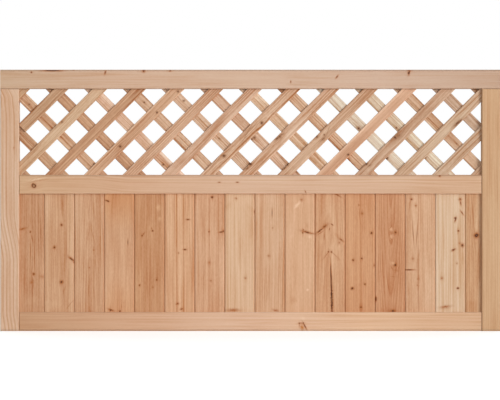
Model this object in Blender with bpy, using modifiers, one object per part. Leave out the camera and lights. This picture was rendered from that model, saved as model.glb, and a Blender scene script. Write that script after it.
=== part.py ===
# Wooden fence panel: a grooved frame with a diagonal lattice above upright boards.
# Metres, +Z up. X runs along the panel, Y from its front (-Y) to its back.
# The origin is at the middle of the panel's underside.

import math

import bmesh
import bpy
from mathutils import Matrix, Vector

# Panel and frame
PANEL_WIDTH = 1.800
PANEL_HEIGHT = 0.940
FRAME_DEPTH = 0.042
CROSS_RAIL_DEPTH = 0.038
STILE_WIDTH = 0.068
TOP_RAIL_HEIGHT = 0.068
MIDDLE_RAIL_HEIGHT = 0.068
BOTTOM_RAIL_HEIGHT = 0.068
LATTICE_OPENING_HEIGHT = 0.310
ARRIS_RADIUS = 0.004
ARRIS_SEGMENTS = 3
RAIL_ARRIS_RADIUS = 0.002
RAIL_CHAMFER = 0.0055
SHOULDER_ARRIS = 0.002

# Clearances
FIT_GAP = 0.0003
BOARD_TOP_GAP = 0.002
BOARD_SIDE_GAP = 0.001
TENON_END_GAP = 0.0006
LATTICE_EDGE_GAP = 0.0006

# Tongued and grooved boards
BOARD_GROOVE_DEPTH = 0.015
BOARD_THICKNESS = 0.016
BOARD_COVER = 0.1083
FIRST_BOARD_SIGHT = 0.0886
BOARD_JOINT_GAP = 0.0008
TONGUE_THICKNESS = 0.005
TONGUE_LENGTH = 0.006
TONGUE_TIP_GAP = 0.0005
FRONT_CHAMFER = 0.0040
BACK_CHAMFER = 0.0015

# Lattice
LATTICE_GROOVE_DEPTH = 0.013
SLAT_WIDTH = 0.038
SLAT_THICKNESS = 0.008
SLATS_EACH_SIDE = 7
CORNER_SLAT_INSET = 0.012
SLAT_ANGLE = math.radians(45)
SLAT_ARRIS = 0.002
SHORT_SLAT = -6

# Countersunk screws in the frame's joints
SCREW_LENGTH = 0.110
SCREW_DIAMETER = 0.005
SCREW_HEAD_DIAMETER = 0.010
SCREW_HEAD_RIM = 0.0006
SCREW_POINT = 0.006
SCREW_SINK = 0.0008
SCREW_SIDES = 12

# A cutter runs this far past the faces it opens
OVERRUN = 0.010
WELD_DISTANCE = 0.00001

# Levels and edges worked out from the sizes above
half_width = PANEL_WIDTH / 2
opening_half_width = half_width - STILE_WIDTH
top_rail_low = PANEL_HEIGHT - TOP_RAIL_HEIGHT
middle_rail_high = top_rail_low - LATTICE_OPENING_HEIGHT
middle_rail_low = middle_rail_high - MIDDLE_RAIL_HEIGHT
lattice_middle = (top_rail_low + middle_rail_high) / 2
lattice_thickness = 2 * SLAT_THICKNESS + FIT_GAP
tenon_length = BOARD_GROOVE_DEPTH - TENON_END_GAP
top_tenon_height = LATTICE_GROOVE_DEPTH - TENON_END_GAP
lattice_reach = opening_half_width + LATTICE_OPENING_HEIGHT / 2 / math.tan(SLAT_ANGLE)
slat_pitch = (lattice_reach - CORNER_SLAT_INSET) / SLATS_EACH_SIDE

# Colours of the planed timber and the steel, as sRGB hex values
TIMBER = {
    "stile": "d1ab8a",
    "rail": "d6b18f",
    "board_brown": "c3906b",
    "board_tan": "cd9c77",
    "board_peach": "d7a986",
    "board_cream": "d8b392",
    "slat_front": "cb9c76",
    "slat_back": "cfa07b",
}
STEEL = "b9b7b0"
BOARD_TONES = (
    "brown", "tan", "tan", "peach", "brown", "peach", "peach", "cream",
    "peach", "peach", "tan", "tan", "brown", "peach", "cream", "tan",
)


def linear_colour(hex_value):
    channels = [int(hex_value[i:i + 2], 16) / 255 for i in (0, 2, 4)]
    straight = [c / 12.92 if c <= 0.04045 else ((c + 0.055) / 1.055) ** 2.4 for c in channels]
    return (*straight, 1.0)


def make_material(name, hex_value, roughness, metallic=0.0):
    material = bpy.data.materials.new(name)
    material.use_nodes = True
    shader = material.node_tree.nodes["Principled BSDF"]
    shader.inputs["Base Color"].default_value = linear_colour(hex_value)
    shader.inputs["Roughness"].default_value = roughness
    shader.inputs["Metallic"].default_value = metallic
    material.diffuse_color = linear_colour(hex_value)
    return material


def add_object(name, mesh, collection, location=(0, 0, 0)):
    obj = bpy.data.objects.new(name, mesh)
    obj.location = location
    collection.objects.link(obj)
    if collection == cutters:
        obj.hide_render = True
        obj.display_type = "WIRE"
    return obj


def bevel(bm, edges, radius, segments):
    if edges:
        bmesh.ops.bevel(bm, geom=edges, offset=radius, segments=segments, profile=0.5, affect="EDGES")


def box(name, low, high, collection, round_axis=None, radius=ARRIS_RADIUS, segments=ARRIS_SEGMENTS,
        chamfered_side=0):
    """A box between two corners. The edges along round_axis can be rounded.

    Those on its upper side are chamfered instead where chamfered_side is 1, and on its lower side where it
    is -1.
    """
    low, high = Vector(low), Vector(high)
    bm = bmesh.new()
    bmesh.ops.create_cube(bm, size=1.0)
    bmesh.ops.scale(bm, vec=high - low, verts=bm.verts)
    if round_axis is not None:
        long_edges = [e for e in bm.edges if abs((e.verts[1].co - e.verts[0].co)[round_axis]) > 1e-6]
        chamfered = [e for e in long_edges if e.verts[0].co.z * chamfered_side > 0]
        rounded = [e for e in long_edges if e not in chamfered]
        bevel(bm, rounded, radius, segments)
        bevel(bm, chamfered, RAIL_CHAMFER, 1)
    mesh = bpy.data.meshes.new(name)
    bm.to_mesh(mesh)
    bm.free()
    return add_object(name, mesh, collection, (low + high) / 2)


def outline_mesh(name, points, thickness):
    """A closed outline in the XY plane, thick along Z, as a welded mesh."""
    curve = bpy.data.curves.new(name, "CURVE")
    curve.dimensions = "2D"
    curve.fill_mode = "BOTH"
    curve.extrude = thickness / 2
    spline = curve.splines.new("POLY")
    spline.points.add(len(points) - 1)
    for point, (x, y) in zip(spline.points, points):
        point.co = (x, y, 0, 1)
    spline.use_cyclic_u = True
    guide = bpy.data.objects.new(name + "_outline", curve)
    cutters.objects.link(guide)
    depsgraph = bpy.context.evaluated_depsgraph_get()
    mesh = bpy.data.meshes.new_from_object(guide.evaluated_get(depsgraph))
    bpy.data.objects.remove(guide, do_unlink=True)
    bm = bmesh.new()
    bm.from_mesh(mesh)
    bmesh.ops.remove_doubles(bm, verts=bm.verts, dist=WELD_DISTANCE)
    bmesh.ops.recalc_face_normals(bm, faces=bm.faces)
    bm.to_mesh(mesh)
    bm.free()
    mesh.name = name
    return mesh


def turned_mesh(name, profile, sides):
    """A profile of (radius, height) points turned round the Z axis."""
    mesh = bpy.data.meshes.new(name + "_profile")
    vertices = [(radius, 0, height) for radius, height in profile]
    mesh.from_pydata(vertices, [(i, i + 1) for i in range(len(profile) - 1)], [])
    guide = bpy.data.objects.new(name + "_profile", mesh)
    cutters.objects.link(guide)
    turn = guide.modifiers.new("turn", "SCREW")
    turn.steps = sides
    turn.render_steps = sides
    turn.use_merge_vertices = True
    turn.merge_threshold = WELD_DISTANCE
    depsgraph = bpy.context.evaluated_depsgraph_get()
    turned = bpy.data.meshes.new_from_object(guide.evaluated_get(depsgraph))
    bpy.data.objects.remove(guide, do_unlink=True)
    return turned


def cut(piece, cutter, operation="DIFFERENCE"):
    boolean = piece.modifiers.new(cutter.name, "BOOLEAN")
    boolean.operation = operation
    boolean.solver = "EXACT"
    boolean.object = cutter


def finish(piece, material):
    piece.data.materials.append(material)


def groove_cutter(name, x_range, z_range, thickness):
    """Cutter of a groove in the middle of a bar. It clears what sits in it by the fit gap."""
    half = thickness / 2 + FIT_GAP
    low_x, high_x = sorted(x_range)
    low_z, high_z = z_range
    return box(name, (low_x, -half, low_z), (high_x, half, high_z), cutters)


def tenon_waste(name, along, shoulder, end, thickness, cross_low, cross_high):
    """Two cutters, in front of and behind a tenon, from its shoulder to past its end."""
    across = 2 if along == 0 else 0
    waste = []
    for side in (-1, 1):
        inner = side * thickness / 2
        outer = side * (FRAME_DEPTH / 2 + OVERRUN)
        past_end = end + math.copysign(OVERRUN, end - shoulder)
        low, high = Vector((0, 0, 0)), Vector((0, 0, 0))
        low.y, high.y = sorted((inner, outer))
        low[along], high[along] = sorted((shoulder, past_end))
        low[across], high[across] = cross_low - OVERRUN, cross_high + OVERRUN
        label = "front" if side < 0 else "back"
        waste.append(box(f"{name}_waste_{label}", low, high, cutters))
    return waste


def shoulder_arris_cutter(name, axis, span, corner):
    """Square bar, turned by 45 degrees, that takes a flat arris off the corner of a shoulder.

    The edge runs along axis over span. corner is a point on it, and the piece lies on its inner side.
    """
    half = 2 * SHOULDER_ARRIS
    low, high = Vector((-half, -half, -half)), Vector((half, half, half))
    low[axis], high[axis] = span[0] - OVERRUN, span[1] + OVERRUN
    bar = box(name, low, high, cutters)
    beyond = half / math.sqrt(2) - SHOULDER_ARRIS / 2
    for other in {0, 1, 2} - {axis}:
        bar.location[other] = corner[other] + math.copysign(beyond, corner[other])
    bar.rotation_euler[axis] = math.pi / 4
    return bar


def make_stile(name, side):
    """Upright of the frame. A tenon on its top fits the groove in the top rail."""
    inner, outer = side * opening_half_width, side * half_width
    left, right = sorted((inner, outer))
    shoulder = top_rail_low - FIT_GAP
    top = top_rail_low + top_tenon_height
    stile = box(name, (left, -FRAME_DEPTH / 2, 0), (right, FRAME_DEPTH / 2, top), parts, round_axis=2)
    mouth = side * (opening_half_width - OVERRUN)
    board_bottom = side * (opening_half_width + BOARD_GROOVE_DEPTH)
    lattice_bottom = side * (opening_half_width + LATTICE_GROOVE_DEPTH)
    lattice_stop = middle_rail_high - LATTICE_GROOVE_DEPTH
    cut(stile, groove_cutter(f"{name}_board_groove", (mouth, board_bottom),
                             (-OVERRUN, middle_rail_high), BOARD_THICKNESS))
    cut(stile, groove_cutter(f"{name}_lattice_groove", (mouth, lattice_bottom),
                             (lattice_stop, top + OVERRUN), lattice_thickness))
    for waste in tenon_waste(name, 2, shoulder, top, lattice_thickness, left, right):
        cut(stile, waste)
    for face_label, face in (("front", -FRAME_DEPTH / 2), ("back", FRAME_DEPTH / 2)):
        cut(stile, shoulder_arris_cutter(f"{name}_{face_label}_arris", 0, (left, right), (0, face, shoulder)))
    for hole in screw_holes(label="left" if side < 0 else "right"):
        cut(stile, hole)
    finish(stile, stile_timber)
    return stile


def make_top_rail():
    """Rail that lies over both stiles, grooved along its underside."""
    rail = box("top_rail", (-half_width, -FRAME_DEPTH / 2, top_rail_low),
               (half_width, FRAME_DEPTH / 2, PANEL_HEIGHT), parts, round_axis=0,
               radius=RAIL_ARRIS_RADIUS, chamfered_side=1)
    past_end = half_width + OVERRUN
    cut(rail, groove_cutter("top_rail_groove", (-past_end, past_end),
                            (top_rail_low - OVERRUN, top_rail_low + LATTICE_GROOVE_DEPTH),
                            lattice_thickness))
    for hole in screw_holes(label="top"):
        cut(rail, hole)
    finish(rail, rail_timber)
    return rail


def make_cross_rail(label, low, high, chamfered_side, has_lattice_groove, has_lower_board_groove):
    """Rail between the stiles, with a tenon on each end that fits the stiles' board groove."""
    name = f"{label}_rail"
    end = opening_half_width + tenon_length
    shoulder = opening_half_width - FIT_GAP
    face = CROSS_RAIL_DEPTH / 2
    rail = box(name, (-end, -face, low), (end, face, high), parts, round_axis=0,
               radius=RAIL_ARRIS_RADIUS, chamfered_side=chamfered_side)
    for side, end_label in ((-1, "left"), (1, "right")):
        for waste in tenon_waste(f"{name}_{end_label}", 0, side * shoulder, side * end,
                                 BOARD_THICKNESS, low, high):
            cut(rail, waste)
        for face_label, corner_y in (("front", -face), ("back", face)):
            cut(rail, shoulder_arris_cutter(f"{name}_{end_label}_{face_label}_arris", 2, (low, high),
                                            (side * shoulder, corner_y, 0)))
    past_ends = (-end - OVERRUN, end + OVERRUN)
    if has_lattice_groove:
        cut(rail, groove_cutter(f"{name}_lattice_groove", past_ends,
                                (high - LATTICE_GROOVE_DEPTH, high + OVERRUN), lattice_thickness))
    else:
        cut(rail, groove_cutter(f"{name}_board_groove", past_ends,
                                (high - BOARD_GROOVE_DEPTH, high + OVERRUN), BOARD_THICKNESS))
    if has_lower_board_groove:
        cut(rail, groove_cutter(f"{name}_lower_groove", past_ends,
                                (low - OVERRUN, low + BOARD_GROOVE_DEPTH), BOARD_THICKNESS))
    for hole in screw_holes(label):
        cut(rail, hole)
    finish(rail, rail_timber)
    return rail


def screw_profile(extra, head_top):
    """Outer side of a screw, from its head down to its point. The head's top is at height 0."""
    shank = SCREW_DIAMETER / 2 + extra
    head = SCREW_HEAD_DIAMETER / 2 + extra
    head_depth = SCREW_HEAD_RIM + (SCREW_HEAD_DIAMETER - SCREW_DIAMETER) / 2
    return [
        (0, head_top),
        (head, head_top),
        (head, -SCREW_HEAD_RIM - extra),
        (shank, -head_depth - extra),
        (shank, -SCREW_LENGTH + SCREW_POINT - extra),
        (0, -SCREW_LENGTH - extra),
    ]


def screw_places():
    """Where each screw's head sits, and how the screw is turned."""
    places = {}
    middle_tenon = (middle_rail_low + BOARD_GROOVE_DEPTH + middle_rail_high - LATTICE_GROOVE_DEPTH) / 2
    bottom_tenon = (BOTTOM_RAIL_HEIGHT - BOARD_GROOVE_DEPTH) / 2
    core_middle = half_width - (STILE_WIDTH - LATTICE_GROOVE_DEPTH) / 2
    for side, label in ((-1, "left"), (1, "right")):
        inward = side * math.pi / 2
        head_x = side * (half_width - SCREW_SINK)
        places[f"{label}_bottom_screw"] = ((head_x, 0, bottom_tenon), inward)
        places[f"{label}_middle_screw"] = ((head_x, 0, middle_tenon), inward)
        places[f"{label}_top_screw"] = ((side * core_middle, 0, PANEL_HEIGHT - SCREW_SINK), 0)
    return places


def make_screws_and_holes():
    """One screw in each joint of the frame, and the cutter of the hole that it sits in."""
    screw = turned_mesh("screw", screw_profile(0, 0), SCREW_SIDES)
    screw.materials.append(steel)
    hole = turned_mesh("screw_hole", screw_profile(FIT_GAP, SCREW_SINK + OVERRUN), SCREW_SIDES)
    for name, (head, turn) in screw_places().items():
        for label, mesh, collection in ((name, screw, parts), (f"{name}_hole", hole, cutters)):
            piece = add_object(label, mesh, collection, head)
            piece.rotation_euler = (0, turn, 0)


def screw_holes(label):
    return [cutter for cutter in cutters.objects if label in cutter.name and cutter.name.endswith("_hole")]


def board_outline(left, right, has_groove, has_tongue):
    """Cross-section of one board, anticlockwise from its front left corner."""
    half = BOARD_THICKNESS / 2
    tongue = TONGUE_THICKNESS / 2
    groove = tongue + FIT_GAP
    groove_depth = TONGUE_LENGTH + TONGUE_TIP_GAP
    points = [(left + FRONT_CHAMFER, -half), (right - FRONT_CHAMFER, -half), (right, -half + FRONT_CHAMFER)]
    if has_tongue:
        points += [(right, -tongue), (right + TONGUE_LENGTH, -tongue),
                   (right + TONGUE_LENGTH, tongue), (right, tongue)]
    points += [(right, half - BACK_CHAMFER), (right - BACK_CHAMFER, half),
               (left + BACK_CHAMFER, half), (left, half - BACK_CHAMFER)]
    if has_groove:
        points += [(left, groove), (left + groove_depth, groove),
                   (left + groove_depth, -groove), (left, -groove)]
    points.append((left, -half + FRONT_CHAMFER))
    return points


def board_edges():
    """Left and right edge of each board, from the left stile's groove to the right one's."""
    buried = BOARD_GROOVE_DEPTH - BOARD_SIDE_GAP
    edges = []
    left = -opening_half_width - buried
    seam = -opening_half_width + FIRST_BOARD_SIGHT
    while seam < opening_half_width:
        edges.append((left, seam - BOARD_JOINT_GAP / 2))
        left = seam + BOARD_JOINT_GAP / 2
        seam += BOARD_COVER
    edges.append((left, opening_half_width + buried))
    return edges


def make_boards():
    bottom = BOTTOM_RAIL_HEIGHT - BOARD_GROOVE_DEPTH + FIT_GAP
    top = middle_rail_low + BOARD_GROOVE_DEPTH - BOARD_TOP_GAP
    edges = board_edges()
    for number, (left, right) in enumerate(edges, start=1):
        name = f"board_{number:02d}"
        points = board_outline(left, right, has_groove=number > 1, has_tongue=number < len(edges))
        middle = (left + right) / 2
        points = [(x - middle, y) for x, y in points]
        board = add_object(name, outline_mesh(name, points, top - bottom), parts)
        board.location = (middle, 0, (bottom + top) / 2)
        finish(board, board_timber[BOARD_TONES[(number - 1) % len(BOARD_TONES)]])


def slat_numbers():
    """Numbers of the slats in one layer, 0 in the middle of the opening."""
    return range(-SLATS_EACH_SIDE, SLATS_EACH_SIDE + 1)


def crossing(front, back):
    """Middle of the lap where a front slat crosses a back slat."""
    x = slat_pitch * (front + back) / 2
    z = lattice_middle + slat_pitch * (back - front) / 2 * math.tan(SLAT_ANGLE)
    return x, z


def make_lattice_trim():
    """The rectangle that all slats are trimmed to, so that their ends sit in the frame's grooves."""
    buried = LATTICE_GROOVE_DEPTH - LATTICE_EDGE_GAP
    reach_x = opening_half_width + buried
    low = (-reach_x, -FRAME_DEPTH, middle_rail_high - buried)
    high = (reach_x, FRAME_DEPTH, top_rail_low + buried)
    return box("lattice_trim", low, high, cutters)


def make_slats(layer, lean, face):
    """One layer of parallel slats. lean is 1 for slats that rise to the right, -1 to the left."""
    depth_middle = face + SLAT_THICKNESS / 2
    half_length = LATTICE_OPENING_HEIGHT / math.sin(SLAT_ANGLE) / 2 + SLAT_WIDTH + STILE_WIDTH
    for number, place in enumerate(slat_numbers(), start=1):
        lower_end, upper_end = -half_length, half_length
        if layer == "front" and place == SHORT_SLAT:
            lower_end = short_slat_end(place)
        name = f"{layer}_slat_{number:02d}"
        low = (lower_end, -SLAT_THICKNESS / 2, -SLAT_WIDTH / 2)
        high = (upper_end, SLAT_THICKNESS / 2, SLAT_WIDTH / 2)
        slat = box(name, low, high, parts, round_axis=0, radius=SLAT_ARRIS, segments=1)
        turn = Matrix.Rotation(-lean * SLAT_ANGLE, 4, "Y")
        middle_shift = turn @ slat.location
        slat.rotation_euler = (0, -lean * SLAT_ANGLE, 0)
        slat.location = Vector((place * slat_pitch, depth_middle, lattice_middle)) + middle_shift
        cut(slat, lattice_trim, "INTERSECT")
        finish(slat, slat_timber[layer])


def short_slat_end(place):
    """One front slat stops square, at the edge of the back slat that it would have crossed last."""
    x, _ = crossing(place, place)
    along = (x - place * slat_pitch) / math.cos(SLAT_ANGLE)
    lap_half = SLAT_WIDTH / 2 / math.sin(2 * SLAT_ANGLE)
    return along + lap_half


for old in list(bpy.data.objects):
    bpy.data.objects.remove(old, do_unlink=True)

parts = bpy.data.collections.new("fence_panel")
cutters = bpy.data.collections.new("cutters")
bpy.context.scene.collection.children.link(parts)
bpy.context.scene.collection.children.link(cutters)

stile_timber = make_material("stile_timber", TIMBER["stile"], 0.62)
rail_timber = make_material("rail_timber", TIMBER["rail"], 0.62)
board_timber = {
    tone: make_material(f"board_timber_{tone}", TIMBER[f"board_{tone}"], 0.66)
    for tone in ("brown", "tan", "peach", "cream")
}
slat_timber = {
    layer: make_material(f"slat_timber_{layer}", TIMBER[f"slat_{layer}"], 0.66)
    for layer in ("front", "back")
}
steel = make_material("fastener_steel", STEEL, 0.38, metallic=1.0)

make_screws_and_holes()
lattice_trim = make_lattice_trim()

make_stile("left_stile", -1)
make_stile("right_stile", 1)
make_top_rail()
make_cross_rail("middle", middle_rail_low, middle_rail_high, chamfered_side=1,
                has_lattice_groove=True, has_lower_board_groove=True)
make_cross_rail("bottom", 0, BOTTOM_RAIL_HEIGHT, chamfered_side=-1,
                has_lattice_groove=False, has_lower_board_groove=False)
make_boards()
make_slats("front", 1, -lattice_thickness / 2)
make_slats("back", -1, lattice_thickness / 2 - SLAT_THICKNESS)
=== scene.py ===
import math

import bmesh
import bpy
from mathutils import Matrix, Vector


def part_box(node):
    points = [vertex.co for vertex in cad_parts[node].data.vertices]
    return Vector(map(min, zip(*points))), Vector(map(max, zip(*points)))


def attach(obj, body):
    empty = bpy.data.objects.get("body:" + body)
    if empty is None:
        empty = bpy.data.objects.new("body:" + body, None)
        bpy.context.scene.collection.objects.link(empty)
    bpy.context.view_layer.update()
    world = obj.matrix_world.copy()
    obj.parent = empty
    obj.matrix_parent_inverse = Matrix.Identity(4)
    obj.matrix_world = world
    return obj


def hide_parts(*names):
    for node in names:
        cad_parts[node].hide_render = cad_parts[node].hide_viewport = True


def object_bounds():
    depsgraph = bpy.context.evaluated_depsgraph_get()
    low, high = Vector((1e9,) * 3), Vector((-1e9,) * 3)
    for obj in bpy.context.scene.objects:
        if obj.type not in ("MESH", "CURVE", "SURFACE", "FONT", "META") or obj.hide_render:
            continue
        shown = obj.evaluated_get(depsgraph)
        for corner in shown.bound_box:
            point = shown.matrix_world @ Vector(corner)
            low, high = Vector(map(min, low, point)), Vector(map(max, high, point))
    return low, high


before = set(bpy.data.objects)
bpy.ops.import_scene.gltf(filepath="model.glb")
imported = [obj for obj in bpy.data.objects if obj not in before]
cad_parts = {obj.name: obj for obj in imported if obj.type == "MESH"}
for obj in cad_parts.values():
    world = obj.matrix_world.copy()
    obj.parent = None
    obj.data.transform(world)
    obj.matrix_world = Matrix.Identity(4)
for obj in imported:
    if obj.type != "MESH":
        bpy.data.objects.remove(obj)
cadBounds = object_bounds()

mm = 0.001


# Camera: square to the panel, level, far enough off for the 4 mm that its inner sides show
view = {
    "photoWidth": 500,       # pixels
    "photoHeight": 400,      # pixels
    "footRow": 331.15,       # pixel row of the panel's underside
    "middleColumn": 250.4,   # pixel column of the panel's middle
    "panelColumns": 500.8,   # how many pixel columns the panel is wide
    "distance": 8200,        # from the panel's front face
    "sensor": 36,
    "farthest": 200000,      # where the view ends
}


def makeCamera(view, panel):
    low, high = panel
    perPixel = (high.x - low.x) / view["panelColumns"]
    height = (view["footRow"] - view["photoHeight"] / 2) * perPixel
    distance = view["distance"] * mm
    aside = (view["photoWidth"] / 2 - view["middleColumn"]) * perPixel
    bpy.ops.object.camera_add(location=(aside, low.y - distance, low.z + height),
                              rotation=(math.pi / 2, 0, 0))
    camera = bpy.context.object
    camera.name = "camera"
    camera.data.sensor_width = view["sensor"]
    camera.data.lens = view["sensor"] * distance / (view["photoWidth"] * perPixel)
    camera.data.clip_end = view["farthest"] * mm
    bpy.context.scene.camera = camera


def linear(hexColour):
    channels = [int(hexColour[i:i + 2], 16) / 255 for i in (0, 2, 4)]
    straight = [c / 12.92 if c <= 0.04045 else ((c + 0.055) / 1.055) ** 2.4 for c in channels]
    return (*straight, 1.0)


def addNode(tree, kind, inputs=(), stops=None, span=(), **settings):
    # An input is a value, a socket, or a node, which stands for its first output. stops are a ramp's
    # places with a colour or a grey each, and span is a Map Range's two limits before and after.
    node = tree.nodes.new(kind if kind.startswith("NodeGroup") else "ShaderNode" + kind)
    for name, value in settings.items():
        setattr(node, name, value)
    if stops:
        elements = node.color_ramp.elements
        elements.remove(elements[1])
        for i, (position, colour) in enumerate(stops):
            stop = elements.new(position) if i else elements[0]
            stop.position = position
            stop.color = colour if isinstance(colour, tuple) else (colour,) * 3 + (1,)
    named = inputs if isinstance(inputs, dict) else dict(enumerate(inputs))
    named = {**named, **dict(zip(("From Min", "From Max", "To Min", "To Max"), span))}
    for name, value in named.items():
        if isinstance(value, bpy.types.Node):
            value = value.outputs[0]
        if isinstance(value, bpy.types.NodeSocket):
            tree.links.new(value, node.inputs[name])
        else:
            node.inputs[name].default_value = value
    return node


def newMaterial(name):
    material = bpy.data.materials.new(name)
    material.use_nodes = True
    material.node_tree.nodes.clear()
    return material, material.node_tree


# Light: a soft lamp from the right, very broad ones from the front and the back, and a little pale air.
# angle, height and spread are degrees to the right of the panel's front, above level and across.
studio = {
    "lamps": {
        "key": {"angle": 42, "height": 6, "spread": 26, "strength": 2.28},
        "fill": {"angle": 8, "height": 8, "spread": 110, "strength": 1.13},
        "back": {"angle": 180, "height": 30, "spread": 90, "strength": 1.6},
    },
    "airStrength": 0.31,
    "floorColour": "c8c8c6",
    "floorGlow": 0.66,       # what the floor adds where it is seen directly, so that open floor is white
    "floorSize": 120000,
}


def makeLamp(name, lamp):
    bpy.ops.object.light_add(type="SUN")
    light = bpy.context.object
    light.name = name
    light.data.energy = lamp["strength"]
    light.data.angle = math.radians(lamp["spread"])
    side, rise = math.radians(lamp["angle"]), math.radians(lamp["height"])
    towards = Vector((math.sin(side) * math.cos(rise), -math.cos(side) * math.cos(rise), math.sin(rise)))
    light.rotation_euler = towards.to_track_quat("Z", "Y").to_euler()


def seenDirectly(tree):
    # 1 where the camera, a reflection or something clear shows the surface, 0 where it only lights others
    ray = addNode(tree, "LightPath").outputs
    straight = addNode(tree, "Math", (ray["Is Camera Ray"], ray["Is Glossy Ray"]), operation="MAXIMUM")
    return addNode(tree, "Math", (straight, ray["Is Transmission Ray"]), operation="MAXIMUM")


def makeStudio(studio):
    for name, lamp in studio["lamps"].items():
        makeLamp(name, lamp)

    world = bpy.data.worlds.new("paleAir")
    bpy.context.scene.world = world
    world.use_nodes = True
    tree = world.node_tree
    tree.nodes.clear()
    white = (1, 1, 1, 1)
    air = addNode(tree, "Background", {"Color": white, "Strength": studio["airStrength"]})
    backdrop = addNode(tree, "Background", {"Color": white, "Strength": 1})
    both = addNode(tree, "MixShader", (seenDirectly(tree), air, backdrop))
    addNode(tree, "OutputWorld", {"Surface": both})

    bpy.ops.mesh.primitive_plane_add(size=studio["floorSize"] * mm, location=(0, 0, 0))
    floor = bpy.context.object
    floor.name = "floor"
    paper, tree = newMaterial("mattWhiteFloor")
    matt = addNode(tree, "BsdfDiffuse", {"Color": linear(studio["floorColour"])})
    glow = addNode(tree, "Math", (seenDirectly(tree), studio["floorGlow"]), operation="MULTIPLY")
    light = addNode(tree, "Emission", {"Color": white, "Strength": glow})
    both = addNode(tree, "AddShader", (matt, light))
    addNode(tree, "OutputMaterial", {"Surface": both})
    floor.data.materials.append(paper)


# Larch, sawn along the stem and planed, left bare. Early wood is pale and broad, late wood is darker,
# redder and denser, so the rings show as lines on every face and as arcs on the ends, where the cut
# fibres drink in the light. The plane leaves it matt. The photograph has 3.6 mm to a pixel, so rings
# are drawn 5.5 to 11 mm apart where real ones are 2 to 4 mm apart, and fibres 3 mm wide where real ones
# are finer than a hair.
larch = {
    "earlyWood": (1.05, 1.12, 1.20),     # what a piece's tone is multiplied by
    "lateWood": (0.81, 0.64, 0.50),
    "greyLateWood": (0.785, 0.675, 0.60),    # in the slats, which are a duller cut
    "roughEarly": 0.76,
    "roughLate": 0.64,
    "roughSpan": (0, 0.8),               # how dark the wood is from the one to the other
    "ior": 1.5,
    "shine": 0.3,                        # bare planed wood throws back less than its IOR says
    "relief": 0.06,                      # how far the grain stands proud
    "reliefStrength": 0.6,

    # A face's tone by where it looks. Each span is how squarely it looks along the grain, or up, where
    # the change starts and where it is full.
    "endGrainAndJointShade": 0.62,                     # end grain: partly its own darker tone, partly painted shade in the joints at the rails' ends
    "endSpan": (0.3, 0.9),
    "endRings": 0.55,                    # how much more clearly the rings show there
    "endRingSpan": (0.6, 0.9),
    "paintedTopShade": 0.78,                      # painted shade on chamfers and tops that look up
    "upSpan": (0.3, 0.7),
    "paintedUnderLight": 1.45,                   # painted light on edges that look down
    "underSpan": (-0.8, -0.2),
    "paintedFootShade": 0.68,                    # painted shade along the lowest edge, by the floor
    "footHeight": 9,

    # Tone drawn out along the grain: width, length, strength, detail
    "layers": {
        "streak": (16, 1100, 0.7, 2),
        "line": (4.6, 420, 1.7, 2),
        "fibre": (3, 80, 1.3, 3),
        "fleck": (3.6, 11, 0.9, 1),
        "blotch": (70, 240, 1.0, 1),
    },
    "layerRoughness": 0.6,
    "thinLine": (9, 520, 0.09),          # single dark lines: how far apart, how long, how wide
    "thinLineFade": (0.38, 0.6, 0.25, 1),    # they fade to a quarter where the blotches are low
    "drift": (200, 600, 2),              # a stem's wander: over this width and length, by so many waves

    # Rings grow wider and narrower over a distance, by so many rings. Each year's wood goes from early to
    # late and back at once, and after the mildest year its late wood is this dark.
    "ringUnevenness": (17, 2.2),
    "year": ((0, 0), (0.35, 0.06), (0.74, 0.7), (0.88, 1), (1, 0)),
    "mildestYear": 0.4,

    # Knots. A knot's mark falls from 1 at its middle to 0 at its reach, which is in its own sizes. Its
    # colours change between two values of the mark, and it covers so much of the wood at each value.
    "knotReach": 3,
    "cover": ((0, 0), (0.22, 0.1), (0.42, 0.42), (0.56, 0.85), (0.66, 0.96), (1, 0.92)),
    "haloToRim": (0.58, 0.7),
    "rimToCore": (0.84, 0.94),
    "flowScale": (0.6, 0, 0.2),          # the grain is disturbed further along it than across it
    "pullSpan": (0.5, 2.2),              # where it stops bending round the knot
    "tailSpan": (0.2, 1.8),              # and where it stops being darker
    "ragged": (6, 7),                    # the outline: size of its bumps, and how far they push
    "knotHalo": "a85f28",
    "greyKnotHalo": "94643f",
    "knotRim": "471a05",
    "knotCore": "a07048",
}


# What the wood's node groups hand on: places, directions and colours, and plain numbers for the rest
socketKinds = {
    "Vector": "Grain Place Centre Size Tilt Seed Flow Pith Lean Along Late".split(),
    "Color": "Tone Halo Color".split(),
}
smooth = {"interpolation_type": "SMOOTHSTEP"}


def newGroup(name, inputs, outputs):
    tree = bpy.data.node_groups.new(name, "ShaderNodeTree")
    for direction, labels in (("INPUT", inputs), ("OUTPUT", outputs)):
        for label in labels.split():
            kind = next((kind for kind, known in socketKinds.items() if label in known), "Float")
            tree.interface.new_socket(label, in_out=direction, socket_type="NodeSocket" + kind)
    return tree, addNode(tree, "NodeGroupInput").outputs


def drawOut(tree, place, seed, width, length, detail, roughness=0.5):
    # A noise with bumps so wide and so long, and another one for each seed
    perMetre = (1 / (width * mm), 1 / (width * mm), 1 / (length * mm))
    spot = addNode(tree, "VectorMath", (place, perMetre, seed), operation="MULTIPLY_ADD")
    return addNode(tree, "TexNoise", {"Vector": spot, "Scale": 1, "Detail": detail,
                                      "Roughness": roughness}).outputs


def makeRaggedGroup(larch):
    # Knots and cracks aren't quite round or straight, so the place that they are drawn at is pushed about
    size, push = larch["ragged"]
    push = push * mm
    tree, given = newGroup("ragged", "Grain Seed", "Place")
    noise = drawOut(tree, given["Grain"], given["Seed"], size, size, 2)["Color"]
    centred = addNode(tree, "VectorMath", (noise, (push, 0, push), (-push / 2, 0, -push / 2)),
                      operation="MULTIPLY_ADD")
    place = addNode(tree, "VectorMath", (given["Grain"], centred), operation="ADD")
    addNode(tree, "NodeGroupOutput", {"Place": place})
    return tree


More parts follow.
